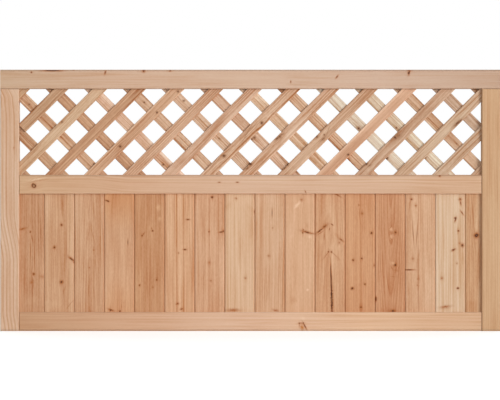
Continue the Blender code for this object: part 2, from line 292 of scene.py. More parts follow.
def makeKnotGroup(larch):
    # A knot or a dark mark. The grain is pulled round it and darker above and below it. At full strength
    # its mark is 1 at its middle and two thirds at its rim.
    tree, given = newGroup("knot", "Grain Place Depth Mark Centre Size Tilt Strength Pull Tail",
                           "Grain Depth Mark")
    inCore = addNode(tree, "Mapping", (given["Place"], given["Centre"], given["Tilt"], given["Size"]),
                     vector_type="TEXTURE")
    coreReach = addNode(tree, "VectorMath", (inCore,), operation="LENGTH").outputs["Value"]
    here = addNode(tree, "MapRange", (coreReach,), span=(0, larch["knotReach"], given["Strength"], 0))
    mark = addNode(tree, "Math", (given["Mark"], here), operation="MAXIMUM")

    away = addNode(tree, "VectorMath", (given["Grain"], given["Centre"]), operation="SUBTRACT")
    inSize = addNode(tree, "VectorMath", (away, given["Size"]), operation="DIVIDE")
    inFlow = addNode(tree, "VectorMath", (inSize, larch["flowScale"]), operation="MULTIPLY")
    reach = addNode(tree, "VectorMath", (inFlow,), operation="LENGTH").outputs["Value"]
    pull = addNode(tree, "MapRange", (reach,), span=(*larch["pullSpan"], given["Pull"], 0), **smooth)
    tail = addNode(tree, "MapRange", (reach,), span=(*larch["tailSpan"], given["Tail"], 0), **smooth)
    across = addNode(tree, "VectorMath", (away, (1, 0, 0)), operation="MULTIPLY")
    shift = addNode(tree, "VectorMath", {0: across, "Scale": pull}, operation="SCALE")
    bent = addNode(tree, "VectorMath", (given["Grain"], shift), operation="SUBTRACT")
    depth = addNode(tree, "Math", (given["Depth"], tail), operation="ADD")
    addNode(tree, "NodeGroupOutput", {"Grain": bent, "Depth": depth, "Mark": mark})
    return tree


def makePatchGroup():
    # A soft patch of darker or paler wood
    tree, given = newGroup("patch", "Place Depth Centre Size Tilt Strength", "Depth")
    inPatch = addNode(tree, "Mapping", (given["Place"], given["Centre"], given["Tilt"], given["Size"]),
                      vector_type="TEXTURE")
    reach = addNode(tree, "VectorMath", (inPatch,), operation="LENGTH").outputs["Value"]
    here = addNode(tree, "MapRange", (reach,), span=(0, 1, given["Strength"], 0), **smooth)
    depth = addNode(tree, "Math", (given["Depth"], here), operation="ADD")
    addNode(tree, "NodeGroupOutput", {"Depth": depth})
    return tree


def makeBendGroup():
    # The grain steps aside between two places along the piece
    tree, given = newGroup("bend", "Grain Low High Shift", "Grain")
    place = addNode(tree, "SeparateXYZ", (given["Grain"],)).outputs["Z"]
    shift = addNode(tree, "MapRange", (place,), span=(given["Low"], given["High"], 0, given["Shift"]),
                    **smooth)
    aside = addNode(tree, "CombineXYZ", {"X": shift})
    bent = addNode(tree, "VectorMath", (given["Grain"], aside), operation="SUBTRACT")
    addNode(tree, "NodeGroupOutput", {"Grain": bent})
    return tree


def makeBandGroup():
    # A stripe of darker or paler wood along the grain
    tree, given = newGroup("band", "Flow Depth Middle HalfWidth Strength", "Depth")
    place = addNode(tree, "SeparateXYZ", (given["Flow"],)).outputs["X"]
    away = addNode(tree, "Math", (place, given["Middle"]), operation="SUBTRACT")
    apart = addNode(tree, "Math", (away,), operation="ABSOLUTE")
    here = addNode(tree, "MapRange", (apart,), span=(0, given["HalfWidth"], given["Strength"], 0), **smooth)
    depth = addNode(tree, "Math", (given["Depth"], here), operation="ADD")
    addNode(tree, "NodeGroupOutput", {"Depth": depth})
    return tree


def makeDriftGroup(larch):
    # The stem isn't quite straight, so its rings and stripes wander as they run
    tree, given = newGroup("drift", "Grain Wave Seed", "Flow")
    width, length, far = larch["drift"]
    noise = drawOut(tree, given["Grain"], given["Seed"], width, length, 2)["Color"]
    centred = addNode(tree, "VectorMath", (noise, (2 * far, 2 * far, 0), (-far, -far, 0)),
                      operation="MULTIPLY_ADD")
    shift = addNode(tree, "VectorMath", {0: centred, "Scale": given["Wave"]}, operation="SCALE")
    flow = addNode(tree, "VectorMath", (given["Grain"], shift), operation="ADD")
    addNode(tree, "NodeGroupOutput", {"Flow": flow})
    return tree


def makeRingGroup(larch):
    # How late in its year the wood grew, from its distance to the pith, which leans along the grain
    tree, given = newGroup("rings", "Flow Pith Lean RingWidth", "Lateness")
    place = addNode(tree, "SeparateXYZ", (given["Flow"],)).outputs["Z"]
    leaning = addNode(tree, "VectorMath", {0: given["Lean"], "Scale": place}, operation="SCALE")
    axis = addNode(tree, "VectorMath", (given["Pith"], leaning), operation="ADD")
    away = addNode(tree, "VectorMath", (given["Flow"], axis), operation="SUBTRACT")
    level = addNode(tree, "VectorMath", (away, (1, 1, 0)), operation="MULTIPLY")
    radius = addNode(tree, "VectorMath", (level,), operation="LENGTH").outputs["Value"]

    # Early wood darkens slowly into late wood, which ends sharply, and no two years are alike
    distance, rings = larch["ringUnevenness"]
    years = addNode(tree, "TexNoise", {"W": radius, "Scale": 1 / (distance * mm), "Detail": 1},
                    noise_dimensions="1D").outputs["Fac"]
    count = addNode(tree, "Math", (radius, given["RingWidth"]), operation="DIVIDE")
    uneven = addNode(tree, "Math", (years, rings, count), operation="MULTIPLY_ADD")
    season = addNode(tree, "Math", (uneven,), operation="FRACT")
    lateness = addNode(tree, "ValToRGB", {"Fac": season}, stops=larch["year"])
    year = addNode(tree, "Math", (uneven,), operation="FLOOR")
    harshness = addNode(tree, "TexWhiteNoise", {"W": year}, noise_dimensions="1D").outputs["Value"]
    weather = addNode(tree, "MapRange", (harshness,), span=(0, 1, larch["mildestYear"]))
    ring = addNode(tree, "Math", (lateness, weather), operation="MULTIPLY")
    addNode(tree, "NodeGroupOutput", {"Lateness": ring})
    return tree


def makeLarchGroup(larch):
    tree, given = newGroup("larch", "Flow Seed Tone Mark Depth Lateness Figure Stripes Lines Along Late Halo",
                           "Color Roughness Height")
    facing = addNode(tree, "NewGeometry").outputs["Normal"]
    along = addNode(tree, "VectorMath", (facing, given["Along"]), operation="DOT_PRODUCT").outputs["Value"]
    cut = addNode(tree, "Math", (along,), operation="ABSOLUTE")
    clearer = addNode(tree, "MapRange", (cut,), span=(*larch["endRingSpan"], 0, larch["endRings"]))
    figure = addNode(tree, "Math", (given["Figure"], clearer), operation="ADD")
    depth = addNode(tree, "Math", (given["Lateness"], figure, given["Depth"]), operation="MULTIPLY_ADD")

    # Streaks, lines, fibres, flecks and blotches, all drawn out along the grain
    noises = {}
    for kind, (width, length, strength, detail) in larch["layers"].items():
        noises[kind] = drawOut(tree, given["Flow"], given["Seed"], width, length, detail,
                               larch["layerRoughness"])["Fac"]
        centred = addNode(tree, "Math", (noises[kind], 0.5), operation="SUBTRACT")
        amount = addNode(tree, "Math", (given["Stripes"], strength), operation="MULTIPLY")
        depth = addNode(tree, "Math", (centred, amount, depth), operation="MULTIPLY_ADD")

    # Single dark lines, where a slow noise passes its middle value, that come and go along the piece
    spacing, length, width = larch["thinLine"]
    noise = drawOut(tree, given["Flow"], given["Seed"], spacing, length, 1)["Fac"]
    centred = addNode(tree, "Math", (noise, 0.5), operation="SUBTRACT")
    apart = addNode(tree, "Math", (centred,), operation="ABSOLUTE")
    comeAndGo = addNode(tree, "MapRange", (noises["blotch"],), span=larch["thinLineFade"])
    fullLine = addNode(tree, "Math", (comeAndGo, given["Lines"]), operation="MULTIPLY")
    line = addNode(tree, "MapRange", (apart,), span=(0, width, fullLine, 0))
    depth = addNode(tree, "Math", (depth, line), operation="ADD")

    share = addNode(tree, "Mix", {0: depth, 4: larch["earlyWood"], 5: given["Late"]}, data_type="VECTOR",
                    clamp_factor=False).outputs[1]
    wood = addNode(tree, "VectorMath", (given["Tone"], share), operation="MULTIPLY")

    # Knots over the wood: a warm halo, a dark rim and a brown core
    rim, core = larch["rimToCore"]
    cover = addNode(tree, "ValToRGB", {"Fac": given["Mark"]}, stops=larch["cover"])
    heart = addNode(tree, "ValToRGB", {"Fac": given["Mark"]},
                    stops=((rim, linear(larch["knotRim"])), (core, linear(larch["knotCore"]))))
    inside = addNode(tree, "MapRange", (given["Mark"],), span=larch["haloToRim"])
    stain = addNode(tree, "Mix", {0: inside, 6: given["Halo"], 7: heart}, data_type="RGBA").outputs[2]
    marked = addNode(tree, "Mix", {0: cover, 6: wood, 7: stain}, data_type="RGBA").outputs[2]

    # End grain, partly painted shade in the joints; painted shade on faces that look up and painted light on
    # faces that look down
    ends = addNode(tree, "MapRange", (cut,), span=(*larch["endSpan"], 1, larch["endGrainAndJointShade"]))
    upward = addNode(tree, "SeparateXYZ", (facing,)).outputs["Z"]
    tops = addNode(tree, "MapRange", (upward,), span=(*larch["upSpan"], 1, larch["paintedTopShade"]))
    unders = addNode(tree, "MapRange", (upward,), span=(*larch["underSpan"], larch["paintedUnderLight"], 1))
    weather = addNode(tree, "Math", (tops, unders), operation="MULTIPLY")
    # Painted shade along the foot, near the floor
    place = addNode(tree, "TexCoord").outputs["Object"]
    above = addNode(tree, "SeparateXYZ", (place,)).outputs["Z"]
    foot = addNode(tree, "MapRange", (above,), span=(0, larch["footHeight"] * mm, larch["paintedFootShade"], 1))
    wet = addNode(tree, "Math", (foot, weather), operation="MULTIPLY")
    worn = addNode(tree, "Math", (ends, wet), operation="MULTIPLY")
    colour = addNode(tree, "VectorMath", {0: marked, "Scale": worn}, operation="SCALE")
    roughness = addNode(tree, "MapRange", (depth,), span=(*larch["roughSpan"], larch["roughEarly"],
                                                        larch["roughLate"]))
    addNode(tree, "NodeGroupOutput", {"Color": colour, "Roughness": roughness, "Height": depth})
    return tree


# What a piece of larch has where its own list says nothing. Knots are (right, up, radius), and a big one
# has its strength too, over 0.86 where its paler heart shows. Marks and patches are (right, up, half
# width, half height, degrees turned clockwise, strength), bends (from, to, step aside) and bands (place
# across the grain, half width, strength). A patch or band with a strength below 0 is paler wood.
plainTimber = {
    "depth": 0.1,            # how dark it is all over, where 1 is late wood
    "pith": (30, 60),        # where the stem's middle runs, beside the piece's own and behind it
    "lean": (0, 4),          # how far that strays in each metre
    "rings": 6,              # how wide a year's ring is
    "figure": 0.4,           # how clearly the rings show
    "stripes": 0.8,          # and the stripes
    "lines": 0.3,            # and the single lines
    "wave": 3,               # how far the grain wanders
    "knots": (), "faintKnots": (), "marks": (), "patches": (), "bends": (), "bands": (),
    "late": larch["lateWood"],
    "halo": larch["knotHalo"],
}

# How dark a spot is, how far the grain turns aside round it, and how much darker it is above and below
spots = {
    "knot": {"Strength": 0.86, "Pull": 0.7, "Tail": 0.22},
    "faintKnot": {"Strength": 0.62, "Pull": 0.7, "Tail": 0.15},
    "mark": {"Pull": 0, "Tail": 0},
    "crackHalfWidth": 2.3,   # a spot narrower than this has a clean outline
}


def spotsOf(wood):
    for right, up, radius, *strength in wood["knots"]:
        own = {"Strength": strength[0]} if strength else {}
        yield (right, up, radius, radius, 0), {**spots["knot"], **own}
    for right, up, radius in wood["faintKnots"]:
        yield (right, up, radius, radius, 0), spots["faintKnot"]
    for *place, strength in wood["marks"]:
        yield place, {**spots["mark"], "Strength": strength}


def makeWood(name, wood, origin, turn, halfLength, seed):
    # origin is the piece's middle. turn, about the Y axis, lays local Z along its grain.
    wood = {**plainTimber, **wood}
    material, tree = newMaterial(name)
    along = Matrix.Rotation(turn, 3, "Y") @ Vector((0, 0, 1))
    seedPlace = Vector((0.37, 0.91, 1.73)) * seed       # any step will do that parts the pieces' noises

    def placed(right, up, halfWidth, halfHeight, degrees):
        centre = Matrix.Rotation(-turn, 3, "Y") @ Vector((right * mm - origin[0], 0, up * mm - origin[2]))
        return {"Centre": centre, "Size": (halfWidth * mm, 1, halfHeight * mm),
                "Tilt": (0, math.radians(degrees) - turn, 0)}

    here = addNode(tree, "TexCoord").outputs["Object"]
    straight = addNode(tree, "Mapping", {"Vector": here, "Location": origin, "Rotation": (0, turn, 0)},
                       vector_type="TEXTURE")
    ragged = addNode(tree, "Group", {"Grain": straight, "Seed": seedPlace}, node_tree=groups["ragged"])

    grain, depth, mark = straight, wood["depth"], 0.0
    for place, strengths in spotsOf(wood):
        drawnAt = straight if min(place[2:4]) < spots["crackHalfWidth"] else ragged
        knot = addNode(tree, "Group", {"Grain": grain, "Place": drawnAt, "Depth": depth, "Mark": mark,
                                       **placed(*place), **strengths}, node_tree=groups["knot"])
        grain, depth, mark = (knot.outputs[label] for label in ("Grain", "Depth", "Mark"))
    for *place, strength in wood["patches"]:
        depth = addNode(tree, "Group", {"Place": ragged, "Depth": depth, **placed(*place),
                                        "Strength": strength}, node_tree=groups["patch"])
    for low, high, shift in wood["bends"]:
        middle = origin[0] if turn else origin[2]
        grain = addNode(tree, "Group", {"Grain": grain, "Low": low * mm - middle, "High": high * mm - middle,
                                        "Shift": shift * mm}, node_tree=groups["bend"])
    flow = addNode(tree, "Group", {"Grain": grain, "Wave": wood["wave"] * mm, "Seed": seedPlace},
                   node_tree=groups["drift"])
    for place, halfWidth, strength in wood["bands"]:
        middle = place * mm if turn else place * mm - origin[0]
        depth = addNode(tree, "Group", {"Flow": flow, "Depth": depth, "Middle": middle,
                                        "HalfWidth": halfWidth * mm, "Strength": strength},
                        node_tree=groups["band"])

    # One tone, or several from one end of the piece to the other
    tone = wood["tone"]
    if isinstance(tone, str):
        colour = linear(tone)
    else:
        length = addNode(tree, "SeparateXYZ", (straight,)).outputs["Z"]
        share = addNode(tree, "MapRange", (length,), span=(-halfLength, halfLength))
        stops = [(i / (len(tone) - 1), linear(shade)) for i, shade in enumerate(tone)]
        colour = addNode(tree, "ValToRGB", {"Fac": share}, stops=stops)

    pith, lean = ((wood[key][0] * mm, wood[key][1] * mm, 0) for key in ("pith", "lean"))
    rings = addNode(tree, "Group", {"Flow": flow, "Pith": pith, "Lean": lean,
                                    "RingWidth": wood["rings"] * mm}, node_tree=groups["rings"])
    body = addNode(tree, "Group", {"Flow": flow, "Seed": seedPlace, "Tone": colour, "Mark": mark,
                                   "Depth": depth, "Lateness": rings, "Figure": wood["figure"],
                                   "Stripes": wood["stripes"], "Lines": wood["lines"], "Along": along,
                                   "Late": wood["late"], "Halo": linear(wood["halo"])},
                   node_tree=groups["larch"]).outputs
    relief = addNode(tree, "Bump", {"Height": body["Height"], "Strength": larch["reliefStrength"],
                                    "Distance": larch["relief"] * mm})
    skin = addNode(tree, "BsdfPrincipled", {"Base Color": body["Color"], "Roughness": body["Roughness"],
                                            "IOR": larch["ior"], "Specular IOR Level": larch["shine"],
                                            "Normal": relief})
    addNode(tree, "OutputMaterial", {"Surface": skin})
    return material


def dress(node, material):
    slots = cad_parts[node].data.materials
    slots.clear()
    slots.append(material)


def middleOf(node):
    low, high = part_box(node)
    return (low + high) / 2, (high - low) / 2


# Stiles: the left one is cut near the outside of the stem, so its rings are broad; the right one stands
# on its rings, so its lines are fine and straight
stileTimber = {
    "left_stile": {"tone": "d3ad8e", "pith": (-70, 14), "lean": (0, 10), "rings": 11, "figure": 0.3,
        "stripes": 0.5, "lines": 0.2, "wave": 2.5,
        "bends": ((0, 70, -8), (245, 430, -25), (760, 850, -6), (835, 885, -18)),
        "bands": ((-882, 4, 0.5), (-868, 4.2, 0.56), (-857, 3.6, 0.45), (-844, 4.2, 0.6), (-831, 4, 0.54),
            (-816, 4.4, 0.58)), "knots": ((-850, 659, 1.4, 0.66),)},
    "right_stile": {"tone": "cea47c", "pith": (190, 20), "lean": (6, 0), "rings": 6, "figure": 0.35,
        "stripes": 0.42, "wave": 1.5},
}

# A rail's tone runs from its left end to its right, and its bands are given down from its middle
railTimber = {
    "top_rail": {"tone": ("c5a283", "d1ad91", "d1ad91", "d0ad93", "c6a48a"), "pith": (10, 70),
        "lean": (0, 6), "rings": 7, "figure": 0.22, "stripes": 0.32, "wave": 2,
        "knots": ((-787, 930, 2.2), (-384, 935, 4), (-288, 936, 2.5)),
        "marks": ((-711, 936, 26, 1.8, 0, 0.95), (-635, 938, 3, 1.6, 0, 0.6), (311, 914, 2, 5.6, 38, 0.82),
            (-522, 929, 2.2, 5.5, 16, 0.82), (570, 929, 3.2, 7, 16, 0.86), (145, 896, 1.6, 3.6, 0, 0.8),
            (571, 936, 6, 2.4, 0, 0.7))},
    "middle_rail": {"tone": ("cba17b", "d2a684", "d7af90", "d6ad8d", "d3a986"), "pith": (-60, 40),
        "lean": (25, 0), "rings": 8, "figure": 0.22, "stripes": 0.2, "wave": 3,
        "bends": ((-820, -735, -18), (-590, -420, 14)),
        "bands": ((-17, 3, -0.28), (-12, 2.4, 0.18), (-7, 3, -0.22), (-2, 2.4, 0.15)),
        "knots": ((-779, 523, 4.8, 1.3), (681, 558, 2.6)),
        "marks": ((-112, 535, 4, 1.6, 0, 0.72), (-47, 535, 4, 1.7, 0, 0.78), (198, 501, 1.5, 4, -25, 0.74)),
        "patches": ((-772, 546, 55, 3.4, -9, -0.8), (-765, 540, 60, 3, -9, 0.6),
            (-640, 555, 110, 3, 0, -0.35), (-640, 549, 110, 3, 1, 0.25))},
    "bottom_rail": {"tone": ("c39671", "d2a583", "dfb798", "e1b793", "d8ae8a"), "pith": (40, 60),
        "lean": (4, 0), "rings": 7, "figure": 0.2, "stripes": 0.2, "wave": 3,
        "knots": ((176, 28, 2.2), (190, 28.5, 2.6)),
        "marks": ((196, 18, 2, 11, -28, 0.8), (183, 29, 6, 1.6, 0, 0.62), (176, 22, 1.6, 7, 0, 0.55)),
        "patches": ((186, 13, 11, 17, -10, 1.3), (188, 46, 14, 9, 0, -0.25))},
}

# Boards from the left. A tone that changes runs from the foot to the top.
boardTimber = {
    "board_01": {"tone": "c2906a", "pith": (-70, 40), "rings": 6, "figure": 0.3, "stripes": 0.9,
        "lines": 0.55, "bands": ((-788, 6, 0.3), (-766, 5, 0.2), (-746, 16, -0.2)),
        "knots": ((-792, 357, 2.6), (-780, 205, 4, 0.74)), "faintKnots": ((-788, 174, 3.4),),
        "marks": ((-821, 367, 11, 3, -14, 0.7), (-793, 398, 1, 12, 0, 0.6), (-786, 333, 1.2, 12, -12, 0.7),
            (-791, 285, 1.3, 34, 0, 0.66), (-777, 266, 1.3, 40, 0, 0.66), (-750, 196, 8, 5, 20, 0.5)),
        "patches": ((-790, 150, 16, 110, 0, 0.1), (-832, 470, 30, 110, 0, 0.25),
            (-792, 110, 40, 30, 0, -0.25))},
    "board_02": {"tone": "cb9c76", "pith": (9, 16), "lean": (0, -26), "rings": 6, "figure": 0.5,
        "lines": 0.25, "bands": ((-676, 18, 0.3), (-640, 16, -0.4), (-732, 14, -0.15)),
        "knots": ((-680, 382, 3), (-706, 301, 3.6), (-680, 176, 4.6)),
        "marks": ((-643, 258, 12, 3.2, 40, 0.8), (-633, 250, 3, 5, 0, 0.9), (-673, 143, 1.4, 12, 0, 0.6),
            (-693, 300, 1.5, 62, 0, 0.5), (-663, 290, 2, 62, 1, 0.56), (-677, 460, 3, 16, 0, 0.55),
            (-669, 150, 1.2, 12, 20, 0.5), (-648, 98, 0.9, 12, 42, 0.5), (-655, 88, 0.9, 10, 38, 0.5)),
        "patches": ((-700, 95, 30, 30, 35, -0.25),)},
    "board_03": {"tone": "cc9d78", "pith": (1, 16), "lean": (0, 55), "rings": 5.5, "figure": 0.35,
        "lines": 0.6, "bands": ((-545, 14, 0.12),), "faintKnots": ((-564, 291, 2.2), (-580, 228, 2.2)),
        "marks": ((-581, 436, 1.1, 22, 6, 0.5), (-565, 436, 1.1, 22, -6, 0.5), (-584, 345, 1, 16, 14, 0.45),
            (-566, 340, 1, 20, -14, 0.5), (-582, 150, 1.1, 26, 5, 0.48), (-565, 150, 1.1, 26, -5, 0.52))},
    "board_04": {"tone": ("cf996f", "d1a07a", "cb9973", "ce9466"), "pith": (5, 70), "lean": (0, 30),
        "rings": 6, "figure": 0.2, "stripes": 0.7, "lines": 0.2, "bands": ((-520, 12, -0.2),),
        "knots": ((-512, 467, 2.6), (-504, 75, 3), (-470, 71, 2.6)),
        "marks": ((-516, 469, 6, 2.2, 15, 0.8), (-441, 319, 1, 9, 0, 0.85), (-502, 76, 8, 2.6, 20, 0.75),
            (-464, 88, 1, 8, 0, 0.6)),
        "patches": ((-475, 460, 70, 80, 0, 0.35), (-425, 200, 14, 200, 0, 0.2))},
    "board_05": {"tone": "c69168", "pith": (60, 60), "rings": 6, "figure": 0.35, "lines": 0.4,
        "bands": ((-393, 14, -0.15), (-330, 14, 0.12)),
        "knots": ((-352, 360, 2.4), (-390, 343, 2.2), (-337, 184, 2.4), (-399, 164, 2.4)),
        "faintKnots": ((-351, 157, 2.2),),
        "marks": ((-384, 350, 1.6, 5, 30, 0.7), (-355, 368, 1.4, 5, -20, 0.6)),
        "patches": ((-364, 440, 14, 120, 0, 0.4), (-345, 190, 30, 90, 20, 0.2),
            (-318, 420, 14, 70, 0, -0.2), (-331, 444, 12, 19, 0, -0.8), (-327, 404, 11, 13, 0, -0.7),
            (-363, 372, 9, 18, 10, -0.4))},
    "board_06": {"tone": "d5a47d", "pith": (-60, 55), "rings": 6.5, "figure": 0.4, "stripes": 0.7,
        "lines": 0.55,
        "bands": ((-266, 2.6, 1), (-241, 2.6, 0.95), (-284, 9, -0.2), (-254, 7, -0.3), (-222, 3, 0.25)),
        "faintKnots": ((-259, 280, 2.6),),
        "marks": ((-225, 401, 5, 2.2, 0, 0.8), (-236, 293, 4.5, 2.2, 0, 0.85), (-263, 98, 4.5, 3, 0, 0.75),
            (-248, 79, 4.6, 3, -15, 0.78)),
        "patches": ((-286, 130, 18, 118, 0, 0.35), (-288, 370, 20, 150, 0, -0.35))},
    "board_07": {"tone": "d2a17c", "pith": (50, 60), "rings": 6, "figure": 0.3, "lines": 0.5,
        "bands": ((-150, 5, 0.35), (-134, 8, 0.3), (-118, 4, 0.3), (-100, 14, -0.15), (-185, 16, -0.15)),
        "knots": ((-137, 482, 3.4), (-98, 359, 3.4), (-149, 357, 1.9)),
        "faintKnots": ((-148, 247, 3), (-143, 181, 3)), "marks": ((-105, 356, 7, 2.2, -8, 0.85),)},
    "board_08": {"tone": "dab28e", "pith": (-130, 40), "rings": 6.4, "figure": 0.62, "stripes": 0.42,
        "lines": 0.5, "bands": ((-84, 10, 0.15), (12, 12, 0.2)),
        "faintKnots": ((-52, 477, 3), (-18, 191, 3)),
        "marks": ((16, 429, 2, 5, 0, 0.9), (-62, 75, 17, 4, 0, 0.62)),
        "patches": ((-62, 72, 34, 14, 0, 0.5), (-20, 150, 10, 60, 0, 0.25), (-80, 450, 16, 30, 40, 0.25),
            (0, 440, 14, 30, -40, 0.25))},
    "board_09": {"tone": "d5a985", "pith": (110, 60), "lean": (0, 12), "rings": 6.2, "figure": 0.42,
        "stripes": 0.6, "lines": 0.5, "bands": ((38, 8, 0.3), (112, 10, 0.15), (80, 22, -0.12)),
        "faintKnots": ((66, 270, 3.2), (80, 371, 2)),
        "marks": ((78, 425, 1, 14, 0, 0.8), (91, 74, 8, 3, 15, 0.65)),
        "patches": ((20, 90, 30, 40, 0, 0.25),)},
    "board_10": {"tone": "d6a680", "pith": (30, 110), "rings": 7, "figure": 0.2, "stripes": 0.6,
        "lines": 0.25, "bands": ((188, 3, 0.35), (222, 6, 0.2)), "knots": ((188, 354, 2.3, 0.78),),
        "faintKnots": ((184, 472, 4),),
        "marks": ((203, 356, 15, 3, 14, 0.77), (220, 351, 11, 2.2, 8, 0.62), (191, 364, 3, 2, 40, 0.7)),
        "patches": ((170, 455, 9, 26, 40, -1), (215, 339, 12, 10, 40, -0.5), (206, 148, 7, 7, 0, -0.9),
            (155, 110, 26, 18, -15, 0.25), (204, 378, 12, 18, 0, 0.25))},
    "board_11": {"tone": "d19f78", "pith": (-8, 34), "lean": (0, 40), "rings": 7, "figure": 0.4,
        "lines": 0.45, "bands": ((250, 12, 0.15), (318, 10, 0.15)),
        "knots": ((281, 285, 2.2), (292, 284, 2.3)),
        "marks": ((251, 362, 16, 2.4, -38, 0.8), (267, 376, 11, 4.4, -40, 0.72),
            (251, 352, 13, 1.2, -34, 0.6), (294, 383, 4, 1.6, 38, 0.8), (285, 367, 1.4, 4, 10, 0.7),
            (266, 341, 1, 8, 0, 0.7), (275, 276, 1, 10, 35, 0.62), (302, 276, 1, 13, -47, 0.55),
            (327, 328, 9, 2.4, 35, 0.7), (320, 318, 2, 3.4, 0, 0.62), (314, 489, 11, 2, 30, 0.7),
            (289, 215, 1.2, 24, 0, 0.92), (291, 175, 1.9, 30, -1, 1), (293, 110, 2.5, 44, -1.5, 1),
            (289, 260, 0.8, 14, 0, 0.6)),
        "patches": ((266, 265, 22, 9, -50, 0.4), (312, 263, 22, 9, 48, 0.4), (262, 385, 12, 20, 30, 0.3),
            (312, 345, 22, 9, 38, 0.35), (290, 330, 12, 50, 0, 0.2), (256, 320, 12, 26, 0, -0.3),
            (316, 300, 12, 20, 0, -0.3))},
    "board_12": {"tone": "ce966c", "pith": (-120, 50), "rings": 6.2, "figure": 0.48, "stripes": 0.7,
        "lines": 0.5, "bands": ((398, 12, 0.35), (380, 4, 0.2), (358, 12, -0.2), (446, 8, -0.3)),
        "knots": ((436, 353, 3.4), (370, 255, 3), (401, 261, 2.4), (412, 168, 2.8), (367, 153, 3.8),
            (398, 86, 3.1)), "faintKnots": ((391, 453, 2.6), (402, 423, 4)),
        "marks": ((446, 236, 3, 5, 0, 0.6),)},
    "board_13": {"tone": "c99169", "pith": (2, 13), "lean": (0, -62), "rings": 6.5, "figure": 0.8,
        "lines": 0.2, "bands": ((454, 10, -0.2), (550, 10, -0.3), (480, 8, 0.15)),
        "knots": ((522, 355, 4.3, 0.77), (522, 237, 3.7)),
        "marks": ((452, 115, 2, 6, 0, 1), (513, 72, 8, 4, 0, 0.8), (499, 352, 1.2, 12, 0, 0.57),
            (504, 372, 1.1, 7, 35, 0.57), (506, 332, 1.1, 7, -35, 0.57), (533, 352, 1, 10, 6, 0.5),
            (510, 226, 1.2, 7, -30, 0.57), (522, 219, 6, 1.1, 0, 0.57), (534, 228, 1.1, 6, 25, 0.55),
            (496, 160, 1.1, 24, -8, 0.55), (513, 196, 7, 1.1, 8, 0.5), (520, 150, 1.1, 24, 6, 0.55),
            (507, 130, 1.1, 20, 0, 0.5)),
        "patches": ((500, 55, 70, 60, 0, 0.4), (507, 366, 9, 14, -25, -1.35), (507, 339, 10, 14, 20, -1.35),
            (514, 244, 8, 9, 0, -1.1), (505, 226, 9, 16, 0, 0.3), (527, 215, 14, 7, -20, 0.3))},
    "board_14": {"tone": "d4a681", "pith": (-20, 40), "lean": (0, 25), "rings": 7, "figure": 0.25,
        "lines": 0.35, "bands": ((605, 3, 0.3), (636, 14, -0.1), (570, 10, 0.1)), "knots": ((580, 474, 3),),
        "faintKnots": ((596, 451, 3), (585, 260, 3), (604, 187, 3), (602, 164, 2.6)),
        "marks": ((571, 220, 14, 1.8, 0, 0.85), (586, 350, 1, 38, -4, 0.72), (600, 350, 1, 38, 4, 0.72),
            (575, 462, 1, 22, 8, 0.55), (604, 186, 1.2, 95, 0, 0.6), (604, 262, 1.6, 14, 12, 0.5)),
        "patches": ((600, 240, 9, 70, 0, 0.2), (560, 90, 22, 40, 0, 0.2))},
    "board_15": {"tone": "dcbb9a", "pith": (-80, 60), "rings": 6.2, "figure": 0.45, "stripes": 0.42,
        "lines": 0.5, "bands": ((762, 18, 0.3), (742, 6, 0.15)),
        "knots": ((755, 474, 3.6), (738, 406, 3.3), (749, 360, 2.4), (747, 154, 2.8)),
        "faintKnots": ((743, 243, 2.4), (689, 190, 3.6)),
        "marks": ((762, 425, 8, 1.8, 55, 0.75), (763, 308, 4, 5.5, -20, 0.8), (753, 316, 3, 3, 0, 0.6),
            (731, 292, 5.5, 2.6, -28, 0.85), (702, 87, 14, 3.4, -8, 0.66), (738, 400, 2, 7, 20, 0.8),
            (757, 460, 2, 7, -8, 0.75)),
        "patches": ((703, 80, 26, 12, 0, 0.3), (748, 330, 20, 120, 8, 0.2))},
    "board_16": {"tone": "cea078", "pith": (20, 40), "rings": 7, "figure": 0.45, "lines": 0.3,
        "bands": ((790, 6, 0.15), (806, 8, 0.2)), "knots": ((814, 344, 6.6, 0.93),),
        "marks": ((800, 430, 1.4, 60, -4, 0.6), (822, 330, 2, 60, 0, 0.45), (792, 390, 1.2, 40, 3, 0.5)),
        "patches": ((786, 440, 14, 120, -4, 0.5), (792, 200, 12, 100, 0, -0.4), (812, 376, 10, 20, 0, -0.4),
            (818, 200, 10, 120, 0, 0.4), (800, 90, 40, 30, 0, 0.3))},
}

# Slats are sawn thin from all over the stem, so their rings are broader and their lines clearer
plainSlat = {
    "rings": 8, "wave": 2.5, "figure": 0.85, "stripes": 1.1, "lines": 1.05,
    "late": larch["greyLateWood"], "halo": larch["greyKnotHalo"],
}

